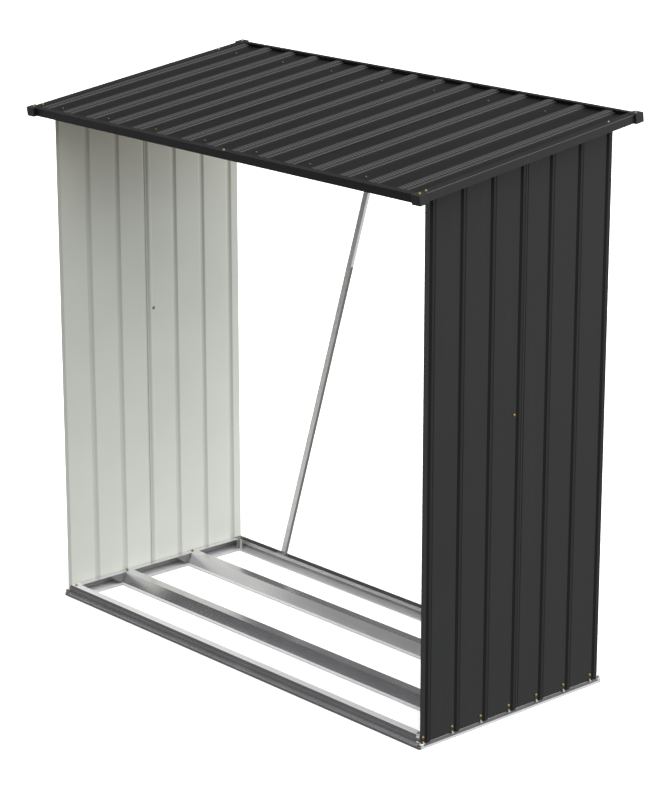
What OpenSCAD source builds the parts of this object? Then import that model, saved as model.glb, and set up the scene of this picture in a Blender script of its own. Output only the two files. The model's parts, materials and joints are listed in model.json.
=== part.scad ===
// Open-sided log store: two ribbed steel side walls on a folded steel base
// frame, under a single-slope ribbed steel roof with channel trims.
// Millimetres. +Z is up, the open front faces -Y, the ground is at z = 0.

/* [Overall size] */
// Distance over the outer faces of the two side walls
wall_span = 1718; // [1708:1:1724]
// Depth of each side wall, front edge to rear edge
wall_depth = 760; // [754:1:764]
// Height of the roof trims at the middle of the depth
roof_mid_height = 1738; // [1600:1:1850]
// Slope of the roof, rising from front to rear, in degrees
roof_tilt = 7.6; // [6:0.1:9]
// Width of the roof over the side trims
roof_width = 1812; // [1806:1:1816]
// Run of the roof along its slope, over the front and rear trims
roof_run = 904; // [898:1:908]

/* [Sheets] */
// Thickness of the wall and roof sheets
sheet_t = 1; // [0.8:0.1:1.1]
// Spacing of the ribs on the walls
wall_rib_pitch = 120; // [118:0.5:121]
// Height of the ribs on the walls
wall_rib_h = 4; // [3:0.5:5]
// Height of the wall sheets' lower edge above the ground
wall_foot_z = 12; // [11.8:0.1:14]
// Height of the roof ribs above the pans
roof_rib_h = 8; // [7:0.5:9]
// Spacing of the ribs on the roof
roof_rib_pitch = 119.5; // [118.5:0.1:119.6]

/* [Base frame] */
// Height of the base rails and floor bars
rail_h = 36; // [34:1:38]
// Thickness of the folded rails
rail_t = 1.2; // [1:0.1:1.4]
// Distance of each floor bar from the middle of the depth
bar_offset = 145; // [140:1:150]
// Width of the floor bars' flat tops
bar_top_w = 31; // [28:1:34]

/* [Trims and caps] */
// Height of the trims' outer faces
trim_h = 26; // [25:0.5:28]
// Depth of the front trim's top flange
front_flange = 20; // [18:1:24]
// Depth of the rear trim's top flange
rear_flange = 15; // [14:1:20]
// Width of the side trims' top flanges
side_flange = 30; // [28:1:30]
// Where the two halves of the front and rear trims meet, from the middle
trim_joint_x = 60; // [40:1:80]

/* [Rear braces] */
// Distance of each brace's foot from the middle of the width
brace_foot_x = 617; // [600:1:640]
// Distance of each brace's head from the middle of the width
brace_head_x = 90; // [80:1:120]
// Width of the brace's rear leg
brace_w = 30; // [26:1:32]

/* [Hidden] */

steel = [0.74, 0.75, 0.76];
coat = [0.14, 0.145, 0.15];
plastic = [0.06, 0.06, 0.065];

hw = wall_span / 2;
hd = wall_depth / 2;
rw = roof_width / 2;
rr = roof_run / 2;
lip = 13;                       // outer lip of the base rails
base_hw = hw + lip;
base_hd = hd + lip;
corner_cut = 5;                 // clipped tips where the lips meet
pan_z = -2.4 - roof_rib_h;      // top of the roof pans below the trims' tops
under_z = pan_z - sheet_t;      // underside of the roof pans
frame_z = under_z - 1.15;       // top of the headers and top rails
rib_base = 24.5;
rib_flank = 8.5;
right_start = 18.5;              // first rib of the right wall, from the front edge
left_start = -12.5;              // the left wall's ribs, counted from this far before the front edge
lap_tail = 6;                   // width of the lapped edge beyond the rib
lap_gap = sheet_t + 0.08;

function unit(v) = v / norm(v);
function perp(v) = [-v[1], v[0]];
// normals of the segments before and after point i of path p
function n_in(p, i) = perp(unit(p[i] - p[i - 1]));
function n_out(p, i) = perp(unit(p[i + 1] - p[i]));
// path p moved sideways by d, with mitred corners (to the left when d > 0)
function moved(p, d) = [for (i = [0 : len(p) - 1])
  i == 0 ? p[i] + d * n_out(p, i) :
  i == len(p) - 1 ? p[i] + d * n_in(p, i) :
  p[i] + d * (n_in(p, i) + n_out(p, i)) / (1 + n_in(p, i) * n_out(p, i))];
function reversed(p) = [for (i = [len(p) - 1 : -1 : 0]) p[i]];

// a folded strip: the band between path p and the same path moved by d
module band(p, d) {
  polygon(concat(p, reversed(moved(p, d))));
}

// one rib starting at s on a wall or roof: base b, flank run f, height h
function rib(s, b, f, h) = [[s, 0], [s + f, h], [s + b - f, h], [s + b, 0]];
function flat_list(a) = [for (r = a) for (q = r) q];

// the lower layer of a lap under the rib at s, then a joggle up to the pan
function underlap(s, b, f, h) = concat(
  [for (q = [1, 2, 3]) moved([[s + f + 2, h], [s + b - f, h], [s + b, 0], [s + b + 40, 0]], -lap_gap)[q - 1]],
  [[s + b + lap_tail + 1, -lap_gap], [s + b + lap_tail + 3, 0]]);

/* ---------- base frame ---------- */

// folded rail section: x runs inward from the wall's outer face, y is height
module rail_section() {
  band([[45, 0], [-lip, 0], [-lip, 8], [sheet_t, 10.6], [sheet_t, rail_h - 9], [sheet_t + 2.5, rail_h], [28 + sheet_t, rail_h]], -rail_t);
}

// a rail running along X whose outer side faces -Y, mitred at both ends,
// with the tips of the lips clipped off
module rail_along(length_half, depth_half) {
  intersection() {
    translate([-length_half, -depth_half + lip, 0]) rotate([90, 0, 90])
      linear_extrude(height = 2 * length_half) rail_section();
    translate([0, 0, -1]) linear_extrude(height = rail_h + 2)
      polygon([[-length_half + corner_cut, -depth_half], [length_half - corner_cut, -depth_half],
        [length_half - corner_cut / 2, -depth_half + corner_cut / 2],
        [length_half - 70, -depth_half + 70], [-length_half + 70, -depth_half + 70],
        [-length_half + corner_cut / 2, -depth_half + corner_cut / 2]]);
  }
}

// a tongue folded down from a side rail's top flange, beside the bar at y0
module rail_tongue(y0) {
  foot = bar_foot_half();
  translate([0, y0, 0]) rotate([90, 0, -90]) linear_extrude(height = rail_t)
    polygon([[bar_top_w / 2 + 0.5, rail_h - rail_t], [foot + 0.3, 5], [foot + 15.5, 7], [foot + 53, rail_h - rail_t]]);
}

module side_rail() {
  // drawn as the left rail, outer side facing -X
  union() {
    rotate([0, 0, -90]) rail_along(base_hd, base_hw);
    for (y0 = [-bar_offset, bar_offset])
      translate([-hw + 28 + sheet_t, 0, 0]) rail_tongue(y0);
  }
}

function bar_foot_half() = bar_top_w / 2 + 14;

module bar_section() {
  f = bar_foot_half();
  w = bar_top_w / 2;
  band([[-f - 15, 0], [-f, 0], [-w, rail_h], [w, rail_h], [f, 0], [f + 15, 0]], rail_t);
}

// a floor bar: hat section, its flat top running on over the side rails
module floor_bar(y0) {
  reach = hw - sheet_t - 4;
  inner = hw - sheet_t - 31.5;
  translate([0, y0, 0]) union() {
    translate([-inner, 0, 0]) rotate([90, 0, 90]) linear_extrude(height = 2 * inner)
      difference() {
        bar_section();
        translate([-100, -2]) square([200, 2 + rail_t + 0.05]);
      }
    for (s = [-1, 1])
      translate([0, s * (bar_foot_half() + 7), (rail_t + 0.05 + 2 * rail_t + 0.05) / 2])
        cube([2 * inner, 16, rail_t], center = true);
    translate([-reach, -bar_top_w / 2, rail_h]) cube([2 * reach, bar_top_w, rail_t]);
  }
}

module corner_bracket() {
  // drawn for the front left corner
  translate([-hw + 28 + sheet_t - 1.5, -hd + 28 + sheet_t - 1.5, rail_t])
    linear_extrude(height = rail_h - 2 * rail_t)
      polygon([[0, 0], [14, 0], [14, 1.5], [1.5, 1.5], [1.5, 14], [0, 14]]);
}

/* ---------- walls ---------- */

// everything above the underside of the roof, moved down by drop
module above_roof(drop = 0) {
  translate([0, 0, roof_mid_height]) rotate([roof_tilt, 0, 0])
    translate([-1200, -700, under_z - drop]) cube([2400, 1400, 400]);
}

// a wall sheet standing on its lower edge; path is [distance from the front
// edge, height outward]; side is 1 for the right wall, -1 for the left
module wall_sheet(path, side) {
  pts = [for (q = path) [side * (hw + q[1]), -hd + q[0]]];
  difference() {
    translate([0, 0, wall_foot_z]) linear_extrude(height = roof_mid_height + 80 - wall_foot_z)
      band(pts, side * sheet_t);
    above_roof();
  }
}

right_lap = right_start + 3 * wall_rib_pitch;
left_lap = left_start + 3 * wall_rib_pitch;

function wall_rib(s) = rib(s, rib_base, rib_flank, wall_rib_h);

module right_wall_front_sheet() color(coat)
  wall_sheet(concat([[0, 0]], flat_list([for (k = [0 : 3]) wall_rib(right_start + k * wall_rib_pitch)]),
    [[right_lap + rib_base + lap_tail, 0]]), 1);

module right_wall_rear_sheet() color(coat)
  wall_sheet(concat(underlap(right_lap, rib_base, rib_flank, wall_rib_h),
    flat_list([for (k = [4 : 5]) wall_rib(right_start + k * wall_rib_pitch)]),
    [[right_start + 6 * wall_rib_pitch, 0], [right_start + rib_flank + 6 * wall_rib_pitch, wall_rib_h], [wall_depth, wall_rib_h]]), 1);

module left_wall_front_sheet() color(coat)
  wall_sheet(concat([[0, wall_rib_h], [3, wall_rib_h], [3 + rib_flank, 0]],
    flat_list([for (k = [1 : 3]) wall_rib(left_start + k * wall_rib_pitch)]),
    [[left_lap + rib_base + lap_tail, 0]]), -1);

module left_wall_rear_sheet() color(coat)
  wall_sheet(concat(underlap(left_lap, rib_base, rib_flank, wall_rib_h),
    flat_list([for (k = [4 : 6]) wall_rib(left_start + k * wall_rib_pitch)]),
    [[wall_depth, 0]]), -1);

/* ---------- headers and top rails ---------- */

module on_slope() {
  translate([0, 0, roof_mid_height]) rotate([roof_tilt, 0, 0]) children();
}

// channel section: x inward from the outer face, y downward from the top
module channel_section(top_w, bottom_w, h, t) {
  band([[top_w, 0], [0, 0], [0, -h], [bottom_w, -h]], t);
}

// a header along X, hung under the roof; side is -1 at the front, 1 at the rear
module header(side) {
  yy = hd / cos(roof_tilt);
  half = hw - sheet_t - 0.5;
  on_slope() translate([0, side * yy, frame_z]) {
    if (side < 0)
      translate([-half, 0, 0]) rotate([90, 0, 90]) linear_extrude(height = 2 * half) header_section();
    else
      translate([half, 0, 0]) rotate([90, 0, -90]) linear_extrude(height = 2 * half) header_section();
  }
}

module header_section() {
  band([[45, 0], [-lip, 0], [-lip, -8], [1, -10.6], [1, -rail_h + 9], [3.5, -rail_h], [29, -rail_h]], rail_t);
}

module top_rail(side) {
  len_half = hd / cos(roof_tilt) - 46.5;
  on_slope() translate([side * (hw - sheet_t), 0, frame_z]) {
    if (side < 0)
      translate([0, len_half, 0]) rotate([90, 0, 0]) linear_extrude(height = 2 * len_half) channel_section(28, 28, 34, rail_t);
    else
      translate([0, -len_half, 0]) rotate([90, 0, 180]) linear_extrude(height = 2 * len_half) channel_section(28, 28, 34, rail_t);
  }
}

/* ---------- rear braces ---------- */

// angle section running up from the rear rail to the rear header (left one)
module rear_brace() {
  z0 = rail_h + 1.5;
  z1 = roof_mid_height + (hd - 18) * tan(roof_tilt) + (frame_z - rail_h) / cos(roof_tilt) - 3.6;
  dx = brace_foot_x - brace_head_x;
  len = sqrt(dx * dx + (z1 - z0) * (z1 - z0));
  lean = atan(dx / (z1 - z0));
  translate([0, hd - 3.5, 0]) union() {
    intersection() {
      translate([-brace_foot_x, 0, z0]) rotate([0, lean, 0]) translate([-brace_w / 2, 0, -60])
        linear_extrude(height = len + 120)
          polygon([[0, 0], [0, -1.5], [brace_w - 1.5, -1.5], [brace_w - 1.5, -12], [brace_w, -12], [brace_w, 0]]);
      translate([-hw, -40, z0]) cube([wall_span, 80, z1 - z0]);
    }
    translate([-brace_foot_x - 17, -22, z0 - 1.5]) cube([34, 22, 1.5]);
    translate([-brace_head_x - 17, -22, z1]) cube([34, 22, 1.5]);
  }
}

/* ---------- roof sheets ---------- */

roof_rib_base = 34.5;
roof_rib_flank = 2.8;
first_rib = -873;
sheet_front = -rr + 14;
sheet_rear = rr - 6;

// one roof rib with a shallow peaked crest, centred on x
function roof_rib(x) = [[x - roof_rib_base / 2, 0], [x - roof_rib_base / 2 + roof_rib_flank, roof_rib_h - 1.2],
  [x, roof_rib_h], [x + roof_rib_base / 2 - roof_rib_flank, roof_rib_h - 1.2], [x + roof_rib_base / 2, 0]];

module roof_sheet(path) {
  on_slope() translate([0, sheet_rear, pan_z]) rotate([90, 0, 0])
    linear_extrude(height = sheet_rear - sheet_front) band(path, -sheet_t);
}

function rib_x(k) = first_rib + k * roof_rib_pitch;
function roof_lap(k) = underlap(rib_x(k) - roof_rib_base / 2, roof_rib_base, roof_rib_flank, roof_rib_h - 1.2);
function roof_tail(k) = [[rib_x(k) + roof_rib_base / 2 + lap_tail, 0]];

module roof_sheet_left() color(coat)
  roof_sheet(concat([[-rw + 2, 0]], flat_list([for (k = [0 : 5]) roof_rib(rib_x(k))]), roof_tail(5)));

module roof_sheet_middle() color(coat)
  roof_sheet(concat(roof_lap(5), flat_list([for (k = [6 : 10]) roof_rib(rib_x(k))]), roof_tail(10)));

module roof_sheet_right() color(coat)
  roof_sheet(concat(roof_lap(10), flat_list([for (k = [11 : 14]) roof_rib(rib_x(k))]), [[rw - 2, 0]]));

/* ---------- trims and caps ---------- */

// plan of the slope's corner mitres: inner corners of the trims' flanges
inner_x = rw - side_flange;
inner_f = -rr + front_flange;
inner_r = rr - rear_flange;

// channel along X at the front (side -1) or the rear (side 1), from xa to xb
module cross_trim(side, xa, xb, flange) {
  on_slope() intersection() {
    if (side < 0)
      translate([xa, -rr, 0]) rotate([90, 0, 90]) linear_extrude(height = xb - xa)
        channel_section(flange, 18, trim_h, 1.2);
    else
      translate([xb, rr, 0]) rotate([90, 0, -90]) linear_extrude(height = xb - xa)
        channel_section(flange, 18, trim_h, 1.2);
    translate([0, 0, -trim_h - 5]) linear_extrude(height = trim_h + 10)
      polygon([[-rw, side * rr], [rw, side * rr], [inner_x, side * (rr - flange)], [-inner_x, side * (rr - flange)]]);
  }
}

module side_trim(side) {
  on_slope() intersection() {
    if (side < 0)
      translate([-rw, rr, 0]) rotate([90, 0, 0]) linear_extrude(height = roof_run)
        channel_section(side_flange, 18, trim_h, 1.2);
    else
      translate([rw, -rr, 0]) rotate([90, 0, 180]) linear_extrude(height = roof_run)
        channel_section(side_flange, 18, trim_h, 1.2);
    translate([0, 0, -trim_h - 5]) linear_extrude(height = trim_h + 10)
      polygon([[side * rw, -rr], [side * inner_x, inner_f], [side * inner_x, inner_r], [side * rw, rr]]);
  }
}

// moulded corner cap around the ends of two trims, drawn at a corner where
// sx and sy give the signs of x and of the run along the slope
module corner_cap(sx, sy) {
  out = 7.5;
  on_slope() mirror([sx < 0 ? 1 : 0, 0, 0]) mirror([0, sy < 0 ? 1 : 0, 0])
    difference() {
      translate([rw + out - 34, rr + out - 33, -trim_h - 2]) cube([34, 33, trim_h + 3.6]);
      translate([rw + out - 35, rr + out - 34, -trim_h - 0.05]) cube([35 - out, 34 - out, trim_h + 0.1]);
    }
}

module front_left_cap() color(plastic) corner_cap(-1, -1);
module front_right_cap() color(plastic) corner_cap(1, -1);
module rear_left_cap() color(plastic) corner_cap(-1, 1);
module rear_right_cap() color(plastic) corner_cap(1, 1);

module front_trim_left() color(coat) cross_trim(-1, -rw, trim_joint_x - 0.2, front_flange);
module front_trim_right() color(coat) cross_trim(-1, trim_joint_x + 0.2, rw, front_flange);
module rear_trim_left() color(coat) cross_trim(1, -rw, trim_joint_x - 0.2, rear_flange);
module rear_trim_right() color(coat) cross_trim(1, trim_joint_x + 0.2, rw, rear_flange);
module left_side_trim() color(coat) side_trim(-1);
module right_side_trim() color(coat) side_trim(1);

module front_header() color(steel) header(-1);
module rear_header() color(steel) header(1);
module left_top_rail() color(steel) top_rail(-1);
module right_top_rail() color(steel) top_rail(1);
module left_rear_brace() color(steel) rear_brace();
module right_rear_brace() color(steel) mirror([1, 0, 0]) rear_brace();

module front_base_rail() color(steel) rail_along(base_hw, base_hd);
module rear_base_rail() color(steel) rotate([0, 0, 180]) rail_along(base_hw, base_hd);
module left_base_rail() color(steel) side_rail();
module right_base_rail() color(steel) mirror([1, 0, 0]) side_rail();
module front_floor_bar() color(steel) floor_bar(-bar_offset);
module rear_floor_bar() color(steel) floor_bar(bar_offset);

module front_left_corner_bracket() color(steel) corner_bracket();
module front_right_corner_bracket() color(steel) mirror([1, 0, 0]) corner_bracket();
module rear_left_corner_bracket() color(steel) mirror([0, 1, 0]) corner_bracket();
module rear_right_corner_bracket() color(steel) mirror([0, 1, 0]) mirror([1, 0, 0]) corner_bracket();

front_base_rail();
rear_base_rail();
left_base_rail();
right_base_rail();
front_floor_bar();
rear_floor_bar();
front_left_corner_bracket();
front_right_corner_bracket();
rear_left_corner_bracket();
rear_right_corner_bracket();
left_wall_front_sheet();
left_wall_rear_sheet();
right_wall_front_sheet();
right_wall_rear_sheet();
left_top_rail();
right_top_rail();
front_header();
rear_header();
left_rear_brace();
right_rear_brace();
roof_sheet_left();
roof_sheet_middle();
roof_sheet_right();
front_trim_left();
front_trim_right();
rear_trim_left();
rear_trim_right();
left_side_trim();
right_side_trim();
front_left_cap();
front_right_cap();
rear_left_cap();
rear_right_cap();
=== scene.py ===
import json
import math
import random

import bmesh
import bpy
from mathutils import Matrix, Vector

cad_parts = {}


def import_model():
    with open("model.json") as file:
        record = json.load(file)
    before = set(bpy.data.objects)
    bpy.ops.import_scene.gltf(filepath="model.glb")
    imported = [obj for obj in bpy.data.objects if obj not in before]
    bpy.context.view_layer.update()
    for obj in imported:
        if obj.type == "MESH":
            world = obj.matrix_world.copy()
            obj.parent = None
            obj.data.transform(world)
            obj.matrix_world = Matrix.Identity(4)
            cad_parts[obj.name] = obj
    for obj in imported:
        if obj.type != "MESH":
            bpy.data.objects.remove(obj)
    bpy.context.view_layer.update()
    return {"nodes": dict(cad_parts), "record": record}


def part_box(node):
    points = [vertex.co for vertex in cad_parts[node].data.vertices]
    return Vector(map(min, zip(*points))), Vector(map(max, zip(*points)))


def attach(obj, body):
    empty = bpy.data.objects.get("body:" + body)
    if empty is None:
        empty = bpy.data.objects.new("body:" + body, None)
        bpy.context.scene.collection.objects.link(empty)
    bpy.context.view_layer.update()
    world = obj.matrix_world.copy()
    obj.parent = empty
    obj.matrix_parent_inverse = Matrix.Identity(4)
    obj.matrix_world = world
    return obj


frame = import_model()
scene = bpy.context.scene
NODES = frame["nodes"]

# ---------------------------------------------------------------- places
WALL_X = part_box("right_base_rail")[1].x - 0.013      # outer face of the right wall
WALL_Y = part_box("left_base_rail")[1].y - 0.013       # rear edge of the walls
RAIL_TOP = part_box("front_base_rail")[1].z
BAR_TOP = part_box("front_floor_bar")[1].z
ROOF_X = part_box("right_side_trim")[1].x
TILT = math.radians(7.6)
MID_H = 1.738                                        # trims' top at the middle of the depth
SLOPE = Matrix.Translation((0, 0, MID_H)) @ Matrix.Rotation(TILT, 4, "X")
PAN = -0.0104                                        # roof pans below the trims' top
RIB0, RIB_P = -0.873, 0.1195


# ---------------------------------------------------------------- camera
def make_camera():
    cam_data = bpy.data.cameras.new("camera")
    cam = bpy.data.objects.new("camera", cam_data)
    scene.collection.objects.link(cam)
    yaw, pitch = math.radians(47.96), math.radians(16.57)
    look = Vector((-math.sin(yaw) * math.cos(pitch), math.cos(yaw) * math.cos(pitch), -math.sin(pitch)))
    cam.location = (6.158, -5.503, 3.262)
    cam.rotation_mode = "QUATERNION"
    cam.rotation_quaternion = look.to_track_quat("-Z", "Y")
    cam_data.sensor_width = 36.0
    cam_data.sensor_fit = "AUTO"
    cam_data.lens = 122.0
    cam_data.clip_start, cam_data.clip_end = 0.1, 200.0
    scene.camera = cam


make_camera()


# ---------------------------------------------------------------- node helpers
class Net:
    """A small helper for building node trees."""

    def __init__(self, tree):
        self.t = tree
        tree.nodes.clear()

    def node(self, kind, **props):
        n = self.t.nodes.new(kind)
        for k, v in props.items():
            setattr(n, k, v)
        return n

    def put(self, socket, value):
        if hasattr(value, "default_value") and hasattr(value, "is_output"):
            self.t.links.new(value, socket)
        else:
            socket.default_value = value

    def math(self, op, a, b=0.0, c=None, clamp=False):
        n = self.node("ShaderNodeMath", operation=op, use_clamp=clamp)
        self.put(n.inputs[0], a)
        self.put(n.inputs[1], b)
        if c is not None:
            self.put(n.inputs[2], c)
        return n.outputs[0]

    def noise(self, vec, scale, detail=2.0, rough=0.5):
        n = self.node("ShaderNodeTexNoise")
        self.put(n.inputs["Vector"], vec)
        n.inputs["Scale"].default_value = scale
        n.inputs["Detail"].default_value = detail
        n.inputs["Roughness"].default_value = rough
        return n.outputs["Fac"]

    def voronoi(self, vec, scale, feature="F1", out="Color"):
        n = self.node("ShaderNodeTexVoronoi", feature=feature)
        self.put(n.inputs["Vector"], vec)
        n.inputs["Scale"].default_value = scale
        return n.outputs[out]

    def remap(self, v, a, b, c, d, smooth=True):
        n = self.node("ShaderNodeMapRange", interpolation_type="SMOOTHSTEP" if smooth else "LINEAR")
        self.put(n.inputs["Value"], v)
        n.inputs["From Min"].default_value = a
        n.inputs["From Max"].default_value = b
        n.inputs["To Min"].default_value = c
        n.inputs["To Max"].default_value = d
        return n.outputs["Result"]

    def mix(self, f, a, b):
        n = self.node("ShaderNodeMix", data_type="RGBA")
        self.put(n.inputs[0], f)
        self.put(n.inputs[6], a)
        self.put(n.inputs[7], b)
        return n.outputs[2]

    def mixf(self, f, a, b):
        n = self.node("ShaderNodeMix", data_type="FLOAT")
        self.put(n.inputs[0], f)
        self.put(n.inputs[2], a)
        self.put(n.inputs[3], b)
        return n.outputs[0]

    def bump(self, height, strength, distance, normal=None):
        n = self.node("ShaderNodeBump")
        n.inputs["Strength"].default_value = strength
        n.inputs["Distance"].default_value = distance
        self.put(n.inputs["Height"], height)
        if normal is not None:
            self.put(n.inputs["Normal"], normal)
        return n.outputs["Normal"]

    def xyz(self, vec):
        n = self.node("ShaderNodeSeparateXYZ")
        self.put(n.inputs[0], vec)
        return n.outputs

    def scaled(self, vec, s):
        n = self.node("ShaderNodeMapping")
        self.put(n.inputs["Vector"], vec)
        n.inputs["Scale"].default_value = s
        return n.outputs["Vector"]


def material(name):
    m = bpy.data.materials.new(name)
    m.use_nodes = True
    net = Net(m.node_tree)
    out = net.node("ShaderNodeOutputMaterial")
    bsdf = net.node("ShaderNodeBsdfPrincipled")
    net.t.links.new(bsdf.outputs[0], out.inputs[0])
    return m, net, bsdf


def rgb(v, warm=0.0):
    return (v * (1 + warm), v, v * (1 - warm), 1.0)


# ---------------------------------------------------------------- materials
def coated(name, tone, inside=None, crest_highlight=0.0, rough=0.42, edge=False):
    """Coil-coated steel: dark satin polyester outside, and a pale coat on
    faces that look inward (for walls: towards the store's middle)."""
    m, net, b = material(name)
    tc = net.node("ShaderNodeTexCoord")
    p = tc.outputs["Object"]
    n = net.xyz(tc.outputs["Normal"])
    pos = net.xyz(p)
    # faint unevenness of the coat, fine grain, and dust that settles in streaks
    soft = net.noise(p, 5.0, 3.0, 0.55)
    grain = net.noise(p, 900.0, 2.0, 0.6)
    streak = net.noise(net.scaled(p, (18.0, 18.0, 1.6)), 1.0, 3.0, 0.6)
    dust = net.math("MULTIPLY", net.remap(streak, 0.45, 0.8, 0.0, 1.0), 0.08)
    tone_v = net.math("MULTIPLY", net.remap(soft, 0.25, 0.75, 0.94, 1.06, False), net.remap(grain, 0.3, 0.7, 0.95, 1.05, False))
    dark = net.mix(dust, rgb(tone, -0.02), rgb(tone * 2.6, 0.01))
    mul = net.node("ShaderNodeVectorMath", operation="SCALE")
    net.put(mul.inputs[0], dark)
    net.put(mul.inputs["Scale"], tone_v)
    colour = mul.outputs[0]
    rough_v = net.math("ADD", net.remap(soft, 0.3, 0.7, rough - 0.04, rough + 0.05, False), net.math("MULTIPLY", grain, 0.06))
    # height above the trims' top, square to the slope, and distance along the slope
    ct, st = math.cos(TILT), math.sin(TILT)
    above = net.math("SUBTRACT", pos[2], MID_H)
    h = net.math("SUBTRACT", net.math("MULTIPLY", above, ct), net.math("MULTIPLY", pos[1], st))
    along = net.math("ADD", net.math("MULTIPLY", pos[1], ct), net.math("MULTIPLY", above, st))
    if crest_highlight:
        # painted highlight: the ribs' crests are painted paler than the pans, standing in for the light they catch,
        # and carry a fine cross pattern from rolling
        up = net.math("SUBTRACT", h, PAN)
        crest_highlight_mask = net.remap(up, 0.0003, 0.0012, 0.0, 1.0)
        cell = net.math("DIVIDE", net.math("SUBTRACT", pos[0], RIB0), RIB_P)
        u = net.math("MULTIPLY", net.math("SUBTRACT", net.math("FRACT", net.math("ADD", cell, 0.5)), 0.5), RIB_P)
        slant = net.math("ADD", along, net.math("MULTIPLY", u, 0.35))
        wave = net.math("SINE", net.math("MULTIPLY", slant, 2 * math.pi / 0.0118))
        # rolled dashes over the rib tops, a painted shade line high on their sides and a painted highlight line below
        # it
        dashes = net.math("MULTIPLY", wave, net.remap(up, 0.0064, 0.0068, 0.02, 0.44))
        groove_shade = net.remap(net.math("ABSOLUTE", net.math("SUBTRACT", up, 0.0051)), 0.0009, 0.0018, 0.92, 0.0)
        highlight_line = net.remap(net.math("ABSOLUTE", net.math("SUBTRACT", up, 0.0023)), 0.0011, 0.0020, 0.50, 0.0)
        level = net.math("SUBTRACT", net.math("ADD", net.math("ADD", 1.0, dashes), highlight_line), groove_shade)
        crest_highlight_colour = net.node("ShaderNodeVectorMath", operation="SCALE")
        crest_highlight_colour.inputs[0].default_value = rgb(tone * crest_highlight, 0.0)[:3]
        net.put(crest_highlight_colour.inputs["Scale"], level)
        crest_highlight_mix = net.math("MULTIPLY", crest_highlight_mask, net.remap(net.noise(net.scaled(p, (160.0, 9.0, 160.0)), 1.0, 2.0, 0.5), 0.2, 0.8, 0.88, 1.0, False))
        colour = net.mix(crest_highlight_mix, colour, crest_highlight_colour.outputs[0])
    if edge:
        # painted highlight: a pale line painted along the outer top folds of the side trims
        out_x = net.remap(net.math("SUBTRACT", ROOF_X, net.math("ABSOLUTE", pos[0])), 0.0009, 0.0018, 1.0, 0.0)
        out_z = net.remap(h, -0.0018, -0.0009, 0.0, 1.0)
        # painted shade: the front face and the flanges on top are painted darker
        colour = net.mix(net.math("MULTIPLY", net.math("LESS_THAN", n[1], -0.8), 0.8), colour, rgb(tone * 0.30))
        colour = net.mix(net.math("MULTIPLY", net.math("GREATER_THAN", n[2], 0.8), 0.8), colour, rgb(tone * 0.45))
        # painted highlight along the outer top folds
        colour = net.mix(net.math("MULTIPLY", out_x, out_z), colour, rgb(tone * 5.0))
    height = net.math("ADD", grain, net.math("MULTIPLY", soft, 2.0))
    if inside is not None:
        side = net.math("MULTIPLY", n[0], pos[0])
        face_in = net.math("LESS_THAN", side, -0.004)
        # painted light: the pale coat is painted lighter towards the rear and towards the bottom, over a faint random
        # unevenness
        pale_light_and_noise = net.math("MULTIPLY", net.remap(net.noise(p, 3.0, 3.0, 0.5), 0.3, 0.7, 0.97, 1.03, False), net.remap(pos[1], -0.38, 0.38, 0.97, 1.08, False))
        pale_light_and_noise = net.math("MULTIPLY", pale_light_and_noise, net.remap(pos[2], 0.15, 0.95, 1.09, 1.0, False))
        low = net.remap(pos[2], 0.02, 0.16, 1.0, 0.0)
        grime = net.math("MULTIPLY", low, net.remap(streak, 0.4, 0.75, 0.05, 0.25, False))
        # painted shade: the pale coat is painted warmer and a little darker towards the top, under the roof
        warm = net.remap(pos[2], 1.15, 1.65, 0.0, 1.0)
        pale = net.mix(warm, inside, (inside[0] * 0.985, inside[1] * 0.94, inside[2] * 0.87, 1.0))
        pale = net.mix(grime, pale, (inside[0] * 0.82, inside[1] * 0.80, inside[2] * 0.76, 1.0))
        pm = net.node("ShaderNodeVectorMath", operation="SCALE")
        net.put(pm.inputs[0], pale)
        net.put(pm.inputs["Scale"], pale_light_and_noise)
        # painted shade in the grooves behind the ribs
        depth = net.math("SUBTRACT", net.math("ABSOLUTE", pos[0]), WALL_X - 0.001)
        groove_shade = net.remap(depth, 0.0001, 0.0008, 0.0, 0.14)
        groove_shaded = net.mix(groove_shade, pm.outputs[0], (0.0, 0.0, 0.0, 1.0))
        colour = net.mix(face_in, colour, groove_shaded)
        rough_v = net.mixf(face_in, rough_v, 0.38)
        # painted shade: outside, the flanks and tops of the ribs are painted darker, and the flanks are rougher
        outer = net.math("SUBTRACT", 1.0, face_in)
        bend = net.math("ABSOLUTE", n[1])
        fold = net.math("MULTIPLY", net.math("MULTIPLY", net.remap(bend, 0.30, 0.42, 0.0, 1.0), net.math("LESS_THAN", bend, 0.9)), outer)
        top = net.math("MULTIPLY", net.remap(net.math("SUBTRACT", net.math("ABSOLUTE", pos[0]), WALL_X), 0.0030, 0.0038, 0.0, 1.0), outer)
        # the flanks that face the rear get the darkest painted shade
        flank_shade_level = net.mixf(net.math("GREATER_THAN", n[1], 0.0), 0.45, 0.15)
        rib_shade_factor = net.mixf(fold, net.mixf(top, 1.0, 0.62), flank_shade_level)
        rib_shade = net.node("ShaderNodeVectorMath", operation="SCALE")
        net.put(rib_shade.inputs[0], colour)
        net.put(rib_shade.inputs["Scale"], rib_shade_factor)
        colour = rib_shade.outputs[0]
        rough_v = net.mixf(fold, rough_v, 0.75)
    net.put(b.inputs["Base Color"], colour)
    net.put(b.inputs["Roughness"], rough_v)
    b.inputs["Specular IOR Level"].default_value = 0.20
    net.put(b.inputs["Normal"], net.bump(height, 0.12, 0.0004))
    return m


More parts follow.
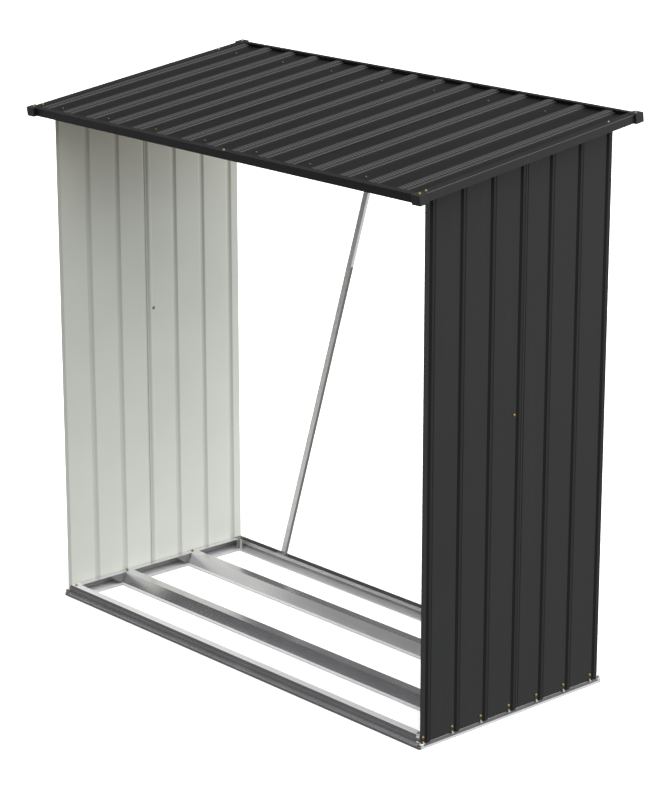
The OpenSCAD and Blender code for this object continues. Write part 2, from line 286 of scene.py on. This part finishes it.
def galvanised(name, tone=0.79, rough=0.23, grain_axis=(1.0, 1.0, 1.0)):
    """Continuously galvanised strip: a smooth bright skin with a very faint
    spangle and soft waves from rolling, and dust on the flanges that lie on the ground.
    Painted shade darkens the inner sides of the folds (also made rougher), the upright webs, the lip tops and the rear
    of the top fold; painted light brightens the front of the top fold and the front-looking faces towards the rear."""
    m, net, b = material(name)
    tc = net.node("ShaderNodeTexCoord")
    p = tc.outputs["Object"]
    n = net.xyz(tc.outputs["Normal"])
    pos = net.xyz(p)
    cells = net.xyz(net.voronoi(p, 130.0))
    cloud = net.noise(p, 5.0, 3.0, 0.55)
    rolled = net.noise(net.scaled(p, grain_axis), 1.0, 2.0, 0.6)
    spangle = net.remap(cells[0], 0.0, 1.0, 0.993, 1.007, False)
    v = net.math("MULTIPLY", spangle, net.remap(cloud, 0.25, 0.75, 0.95, 1.05, False))
    v = net.math("MULTIPLY", v, net.remap(rolled, 0.3, 0.7, 0.97, 1.03, False))
    # painted shade: the inner sides of the left and right folds are painted dark and made rougher and less metallic
    inward = net.math("LESS_THAN", net.math("MULTIPLY", n[0], pos[0]), -0.25)
    # flanges flat on the ground: dusty
    low = net.math("MULTIPLY", net.math("LESS_THAN", pos[2], 0.0035), net.math("GREATER_THAN", n[2], 0.6))
    zinc = net.mix(low, (tone, tone * 0.987, tone * 1.02, 1.0), (0.73, 0.72, 0.73, 1.0))
    zinc = net.mix(inward, zinc, (0.24, 0.24, 0.24, 1.0))
    # painted shade: the upright webs are painted darker from the top fold down towards the lip
    web_shade = net.math("MULTIPLY", net.math("GREATER_THAN", net.math("ABSOLUTE", n[1]), 0.9), net.remap(pos[2], 0.012, 0.040, 0.80, 0.0))
    web_shade = net.math("MULTIPLY", web_shade, net.math("GREATER_THAN", net.math("ABSOLUTE", pos[1]), WALL_Y - 0.0022))
    zinc = net.mix(web_shade, zinc, (tone * 0.52, tone * 0.52, tone * 0.53, 1.0))
    # painted shade: the tops of the side lips against the walls are painted dark
    lip_top_shade = net.math("MULTIPLY", net.math("GREATER_THAN", net.math("ABSOLUTE", pos[0]), WALL_X - 0.004), net.math("GREATER_THAN", n[2], 0.4))
    lip_top_shade = net.math("MULTIPLY", lip_top_shade, net.math("LESS_THAN", net.math("ABSOLUTE", net.math("SUBTRACT", pos[2], 0.0085)), 0.0045))
    zinc = net.mix(lip_top_shade, zinc, (0.29, 0.29, 0.29, 1.0))
    # painted light: faces inside the frame that look to the front are painted paler and less metallic towards the rear
    rearward_light = net.math("MULTIPLY", net.math("LESS_THAN", n[1], -0.5), net.remap(pos[1], -0.14, 0.40, 0.0, 1.0))
    rearward_light = net.math("MULTIPLY", rearward_light, net.math("GREATER_THAN", pos[1], -(WALL_Y - 0.02)))
    zinc = net.mix(rearward_light, zinc, (0.90, 0.90, 0.90, 1.0))
    # top fold: painted paler, rougher and less metallic along the front as painted light, and painted dark along the
    # rear as painted shade
    top = net.math("MULTIPLY", net.math("GREATER_THAN", n[2], 0.9), net.math("GREATER_THAN", pos[2], RAIL_TOP - 0.001))
    front_top_light = net.math("MULTIPLY", top, net.math("LESS_THAN", pos[1], -(WALL_Y - 0.034)))
    front_top_light = net.math("MULTIPLY", front_top_light, 0.85)
    rear_top_shade = net.math("MULTIPLY", top, net.math("GREATER_THAN", pos[1], WALL_Y - 0.034))
    rear_top_shade = net.math("MULTIPLY", rear_top_shade, 0.9)
    zinc = net.mix(front_top_light, zinc, (0.64, 0.635, 0.635, 1.0))
    zinc = net.mix(rear_top_shade, zinc, (0.19, 0.19, 0.19, 1.0))
    base = net.node("ShaderNodeVectorMath", operation="SCALE")
    net.put(base.inputs[0], zinc)
    net.put(base.inputs["Scale"], v)
    net.put(b.inputs["Base Color"], base.outputs[0])
    metal = net.mixf(low, net.mixf(inward, 0.96, 0.55), 0.30)
    metal = net.mixf(rearward_light, metal, 0.35)
    metal = net.mixf(front_top_light, metal, 0.25)
    net.put(b.inputs["Metallic"], metal)
    r = net.math("ADD", rough, net.math("MULTIPLY", cloud, 0.05))
    r = net.mixf(inward, net.mixf(low, r, 0.55), 0.60)
    r = net.mixf(lip_top_shade, r, 0.45)
    r = net.mixf(front_top_light, r, 0.5)
    net.put(b.inputs["Roughness"], r)
    wave = net.noise(net.scaled(p, (9.0, 9.0, 9.0)), 1.0, 2.0, 0.4)
    net.put(b.inputs["Normal"], net.bump(wave, 0.16, 0.0012))
    return m


def moulded(name):
    m, net, b = material(name)
    tc = net.node("ShaderNodeTexCoord")
    p = tc.outputs["Object"]
    tex = net.noise(p, 1400.0, 2.0, 0.7)
    cloud = net.noise(p, 30.0, 2.0, 0.5)
    net.put(b.inputs["Base Color"], net.mix(cloud, rgb(0.015), rgb(0.020)))
    b.inputs["Specular IOR Level"].default_value = 0.25
    net.put(b.inputs["Roughness"], net.remap(cloud, 0.2, 0.8, 0.42, 0.56, False))
    net.put(b.inputs["Normal"], net.bump(tex, 0.25, 0.0003))
    return m


def plated(name, colour, rough, metal=1.0, scale=700.0):
    m, net, b = material(name)
    tc = net.node("ShaderNodeTexCoord")
    p = tc.outputs["Object"]
    v = net.noise(p, scale, 3.0, 0.6)
    dark = tuple(c * 0.72 for c in colour[:3]) + (1.0,)
    net.put(b.inputs["Base Color"], net.mix(v, dark, colour))
    b.inputs["Metallic"].default_value = metal
    net.put(b.inputs["Roughness"], net.remap(v, 0.2, 0.8, rough - 0.08, rough + 0.1, False))
    net.put(b.inputs["Normal"], net.bump(v, 0.15, 0.0002))
    return m


PALE = (0.590, 0.610, 0.560, 1.0)
M_WALL = coated("wall_coat", 0.0160, inside=PALE, rough=0.30)
M_ROOF = coated("roof_coat", 0.0058, crest_highlight=7.0, rough=0.36)
M_TRIM = coated("trim_coat", 0.0190, edge=True)
M_BASE = galvanised("galvanised_base")
M_FRAME = galvanised("galvanised_frame")
M_BRACE = galvanised("galvanised_brace", 0.95, 0.34)
M_CAP = moulded("black_moulding")
M_BRASS = plated("yellow_zinc", (0.41, 0.235, 0.040, 1.0), 0.34)
M_WASHER = plated("zinc_washer", (0.30, 0.27, 0.22, 1.0), 0.42)
M_DARK = plated("rubber_seal", (0.02, 0.02, 0.02, 1.0), 0.7, 0.0)
M_ROOFHEAD = plated("dulled_zinc", (0.20, 0.105, 0.035, 1.0), 0.45)
M_TAB = plated("dull_tab", (0.27, 0.27, 0.27, 1.0), 0.45)
M_CLIP = plated("powdery_clip", (0.88, 0.88, 0.87, 1.0), 0.5, 0.1)

SLOT_MATERIAL = {
    "wall_sheet": M_WALL, "roof_sheet": M_ROOF, "trim": M_TRIM, "base_steel": M_BASE,
    "frame_steel": M_FRAME, "brace_steel": M_BRACE, "corner_plastic": M_CAP,
}
for part in frame["record"]["subparts"]:
    o = NODES[part["node"]]
    o.data.materials.clear()
    o.data.materials.append(SLOT_MATERIAL[part["material_slot"]])


# ---------------------------------------------------------------- fixings
def lathe(bm, profile, mat, steps=20, matrix=Matrix()):
    """Revolves (radius, height) points about Z into bm."""
    rings = []
    for r, z in profile:
        if r < 1e-7:
            rings.append([bm.verts.new(matrix @ Vector((0, 0, z)))])
        else:
            rings.append([bm.verts.new(matrix @ Vector((r * math.cos(a), r * math.sin(a), z)))
                          for a in (2 * math.pi * i / steps for i in range(steps))])
    for a, b in zip(rings, rings[1:]):
        for i in range(steps):
            j = (i + 1) % steps
            if len(a) == 1 and len(b) == 1:
                continue
            if len(a) == 1:
                f = bm.faces.new((a[0], b[i], b[j]))
            elif len(b) == 1:
                f = bm.faces.new((a[i], b[0], a[j]))
            else:
                f = bm.faces.new((a[i], b[i], b[j], a[j]))
            f.material_index = mat
            f.smooth = True


def finish_mesh(name, bm, mats, smooth_angle=40):
    bmesh.ops.recalc_face_normals(bm, faces=bm.faces)
    me = bpy.data.meshes.new(name)
    bm.to_mesh(me)
    bm.free()
    for m in mats:
        me.materials.append(m)
    me.set_sharp_from_angle(angle=math.radians(smooth_angle))
    o = bpy.data.objects.new(name, me)
    scene.collection.objects.link(o)
    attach(o, "root")
    return o


def screw_into(bm, at, normal, turn=0.0, washer=0.0052, head=0.0037):
    """A pan-head screw with a round recess on a domed washer and seal."""
    q = Vector(normal).to_track_quat("Z", "Y").to_matrix().to_4x4()
    m = Matrix.Translation(at) @ q @ Matrix.Rotation(turn, 4, "Z")
    lathe(bm, [(0, 0.00002), (washer * 0.92, 0.00002), (washer * 0.95, 0.0006), (0, 0.0006)], 2, 20, m)
    lathe(bm, [(0, 0.0006), (washer, 0.0006), (washer, 0.0010), (washer * 0.8, 0.0017), (head * 0.9, 0.0020), (0, 0.0020)], 1, 24, m)
    lathe(bm, [(0, 0.0019), (head, 0.0019), (head * 1.0, 0.0026), (head * 0.93, 0.0034), (head * 0.72, 0.0041), (head * 0.42, 0.0045), (head * 0.40, 0.0034), (0, 0.0032)], 0, 20, m)


rng = random.Random(11)


ROOF_SET = [M_ROOFHEAD, M_DARK, M_DARK]


def screws(name, places, slot="base_steel", mats=None, **kw):
    bm = bmesh.new()
    for at, normal in places:
        screw_into(bm, Vector(at), normal, rng.uniform(0, 3.1), **kw)
    return finish_mesh(name, bm, mats or [M_BRASS, M_WASHER, M_DARK])


def slope_point(x, y, up):
    """A point on the roof: x and y in plan, up measured square to the slope from the trims' top."""
    s = (y + up * math.sin(TILT)) / math.cos(TILT)
    return SLOPE @ Vector((x, s, up))


UP = (SLOPE.to_3x3() @ Vector((0, 0, 1)))
pans = [RIB0 + RIB_P / 2 + RIB_P * 2 * j for j in range(7)]
screws("roof_screws_front", [(slope_point(x, -0.3843, PAN), UP) for x in pans], "roof_sheet", washer=0.0044, head=0.0032, mats=ROOF_SET)
screws("roof_screws_rear", [(slope_point(x, 0.3437, PAN), UP) for x in pans], "roof_sheet", washer=0.0044, head=0.0032, mats=ROOF_SET)
screws("trim_screws", [(slope_point(0.060, -0.4433 + 0.002, 0.0), UP), (slope_point(0.060, 0.4406, 0.0), UP)], "trim")
screws("side_trim_screws", [(slope_point(sx * 0.8895, y, 0.0), UP) for sx in (-1, 1) for y in (-0.408, 0.330)], "trim", washer=0.0046, head=0.0034)
screws("cap_screws", [(slope_point(sx * (ROOF_X + 0.0075 - 0.017), sy * 0.439, 0.0016), UP) for sx in (-1, 1) for sy in (-1, 1)], "corner_plastic")

right_y = [-0.369 + 0.120 * k for k in range(7)]
left_y = [0.023 - 0.380 + 0.120 * k for k in range(7)]
screws("right_wall_screws", [((WALL_X, y, 0.030), (1, 0, 0)) for y in right_y] + [((WALL_X, -0.009, 0.949), (1, 0, 0))], "wall_sheet")
screws("left_wall_screws", [((-WALL_X, y, 0.030), (-1, 0, 0)) for y in left_y] + [((-WALL_X, 0.004, 0.941), (-1, 0, 0))], "wall_sheet")
screws("wall_screw_tips", [((-WALL_X + 0.001, 0.004, 0.941), (1, 0, 0)), ((WALL_X - 0.001, -0.009, 0.949), (-1, 0, 0))], "wall_sheet", washer=0.0060, head=0.0044)

flange = [((sx * (WALL_X - 0.021), sy * (WALL_Y - 0.011), RAIL_TOP), (0, 0, 1)) for sx in (-1, 1) for sy in (-1, 1)]
bars = []
for node in ("front_floor_bar", "rear_floor_bar"):
    lo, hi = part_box(node)
    for sx in (-1, 1):
        bars.append(((sx * (WALL_X - 0.016), (lo.y + hi.y) / 2, BAR_TOP), (0, 0, 1)))
screws("base_corner_screws", flange)
screws("bar_end_screws", bars)
screws("corner_lip_screws", [((sx * (WALL_X + 0.0050), sy * (WALL_Y + 0.0084), 0.0165), (0, 0, 1)) for sx in (-1, 1) for sy in (-1, 1)], washer=0.0044, head=0.0036)


def solid_from(bm, vs, faces, mat=0):
    made = [bm.verts.new(v) for v in vs]
    for f in faces:
        bm.faces.new([made[i] for i in f]).material_index = mat


def prism(bm, outline, z0, z1, ease, mat=0):
    """An upright prism over an outline (counter-clockwise), its top edge eased by ease."""
    n = len(outline)
    cx = sum(q[0] for q in outline) / n
    cy = sum(q[1] for q in outline) / n

    def inset(q):
        d = Vector((cx - q[0], cy - q[1])).normalized() * ease
        return (q[0] + d.x, q[1] + d.y)

    vs = [(x, y, z0) for x, y in outline] + [(x, y, z1 - ease) for x, y in outline] + [inset(q) + (z1,) for q in outline]
    faces = [tuple(reversed(range(n))), tuple(range(2 * n, 3 * n))]
    for ring in (0, n):
        faces += [(ring + i, ring + (i + 1) % n, ring + n + (i + 1) % n, ring + n + i) for i in range(n)]
    solid_from(bm, vs, faces, mat)


def tabs(name, sx, ys):
    """Small folded gussets that stand on the rail's lip and locate the foot of the wall."""
    bm = bmesh.new()
    for y in ys:
        x0, x1 = WALL_X + 0.0003, WALL_X + 0.0062
        vs = [(x1, y - 0.0050, 0.0096), (x1, y + 0.0056, 0.0096), (x0, y + 0.0056, 0.0112), (x0, y - 0.0050, 0.0112),
              (x0 + 0.0009, y - 0.0004, 0.0182), (x0 + 0.0009, y + 0.0014, 0.0182), (x0, y + 0.0014, 0.0184), (x0, y - 0.0004, 0.0184)]
        solid_from(bm, [(sx * q[0], q[1], q[2]) for q in vs],
                   ((0, 1, 2, 3), (0, 4, 5, 1), (1, 5, 6, 2), (2, 6, 7, 3), (3, 7, 4, 0), (4, 7, 6, 5)))
    return finish_mesh(name, bm, [M_TAB], 20)


tabs("right_rail_tabs", 1, right_y)
tabs("left_rail_tabs", -1, left_y)


def corner_cleats(name):
    """Clipped caps over the tips of the lips; the corner screws go down into them."""
    bm = bmesh.new()
    for sx in (-1, 1):
        for sy in (-1, 1):
            out, cut = 0.01325, 0.0051
            q = [(0.0006, 0.0006), (out, 0.0006), (out, out - cut), (out - cut * 0.24, out - cut * 0.24 - 0.0009), (out - cut * 0.24 - 0.0009, out - cut * 0.24), (out - cut, out), (0.0006, out)]
            pts = [(sx * (WALL_X + u), sy * (WALL_Y + v)) for u, v in q]
            if sx * sy < 0:
                pts.reverse()
            prism(bm, pts, 0.0003, 0.0165, 0.0008)
    return finish_mesh(name, bm, [M_BASE], 25)


def corner_clips(name):
    """Ribbed upright clips at the front right and rear left, where the cross rails' ends are closed."""
    bm = bmesh.new()
    for sx in (-1, 1):
        for sy in (-sx,):
            xa, xb = WALL_X - 0.0175, WALL_X - 0.0055

            def strip(x_a, x_b, v0, v1, z0, z1, ease):
                pts = [(sx * x_a, sy * (WALL_Y + v0)), (sx * x_b, sy * (WALL_Y + v0)), (sx * x_b, sy * (WALL_Y + v1)), (sx * x_a, sy * (WALL_Y + v1))]
                if sx * sy < 0:
                    pts.reverse()
                prism(bm, pts, z0, z1, ease)

            strip(xa, xb, -0.0009, 0.0011, 0.0125, 0.0342, 0.0003)
            strip(xa + 0.0007, xb - 0.0007, 0.0009, 0.0024, 0.0285, 0.0312, 0.0006)
            strip(xa + 0.0007, xb - 0.0007, 0.0009, 0.0024, 0.0138, 0.0165, 0.0006)
    return finish_mesh(name, bm, [M_CLIP], 25)


corner_cleats("corner_lip_cleats")
corner_clips("corner_clips")


# ---------------------------------------------------------------- stage
def floor():
    m, net, b = material("studio_floor")
    tc = net.node("ShaderNodeTexCoord")
    v = net.noise(tc.outputs["Object"], 3.0, 3.0, 0.5)
    net.put(b.inputs["Base Color"], net.mix(v, rgb(0.92), rgb(0.94)))
    b.inputs["Emission Color"].default_value = (1.0, 1.0, 1.0, 1.0)
    b.inputs["Emission Strength"].default_value = 0.22
    b.inputs["Roughness"].default_value = 0.9
    b.inputs["Specular IOR Level"].default_value = 0.1
    bm = bmesh.new()
    r = 400.0
    ring = [bm.verts.new((r * math.cos(a), r * math.sin(a), -0.0004)) for a in (2 * math.pi * i / 64 for i in range(64))]
    bm.faces.new(ring)
    me = bpy.data.meshes.new("floor")
    bm.to_mesh(me)
    bm.free()
    me.materials.append(m)
    o = bpy.data.objects.new("floor", me)
    scene.collection.objects.link(o)
    # the floor shows and takes the store's shadow; the light round the store comes from the world alone
    o.visible_glossy = False
    o.visible_diffuse = False
    o.visible_shadow = False


floor()


def world():
    w = bpy.data.worlds.new("studio")
    scene.world = w
    w.use_nodes = True
    net = Net(w.node_tree)
    out = net.node("ShaderNodeOutputWorld")
    bg = net.node("ShaderNodeBackground")
    net.t.links.new(bg.outputs[0], out.inputs[0])
    tc = net.node("ShaderNodeTexCoord")
    d = tc.outputs["Generated"]

    def lobe(direction, power, gain):
        v = Vector(direction).normalized()
        n = net.node("ShaderNodeVectorMath", operation="DOT_PRODUCT")
        net.put(n.inputs[0], d)
        n.inputs[1].default_value = v
        c = net.math("MAXIMUM", n.outputs["Value"], 0.0)
        return net.math("MULTIPLY", net.math("POWER", c, power), gain)

    z = net.xyz(d)[2]
    total = net.math("ADD", net.remap(z, -0.9, 0.1, 0.16, 0.085), net.remap(z, 0.55, 0.98, 0.0, 0.9))
    total = net.math("ADD", total, lobe((0.42, -0.30, 0.86), 4.0, 3.2))
    total = net.math("ADD", total, lobe((0.60, 0.72, 0.22), 6.0, 1.5))
    total = net.math("ADD", total, lobe((0.60, 0.45, -0.66), 4.0, 0.40))
    total = net.math("ADD", total, lobe((0.30, 0.62, 0.72), 6.0, 2.2))
    total = net.math("ADD", total, lobe((-0.92, 0.14, -0.36), 14.0, 3.2))
    comb = net.node("ShaderNodeCombineXYZ")
    for i in range(3):
        net.put(comb.inputs[i], total)
    net.put(bg.inputs["Color"], comb.outputs[0])
    bg.inputs["Strength"].default_value = 1.0


world()

scene.view_settings.view_transform = "Standard"
scene.view_settings.look = "None"
scene.view_settings.exposure = 0.0
scene.view_settings.gamma = 1.0
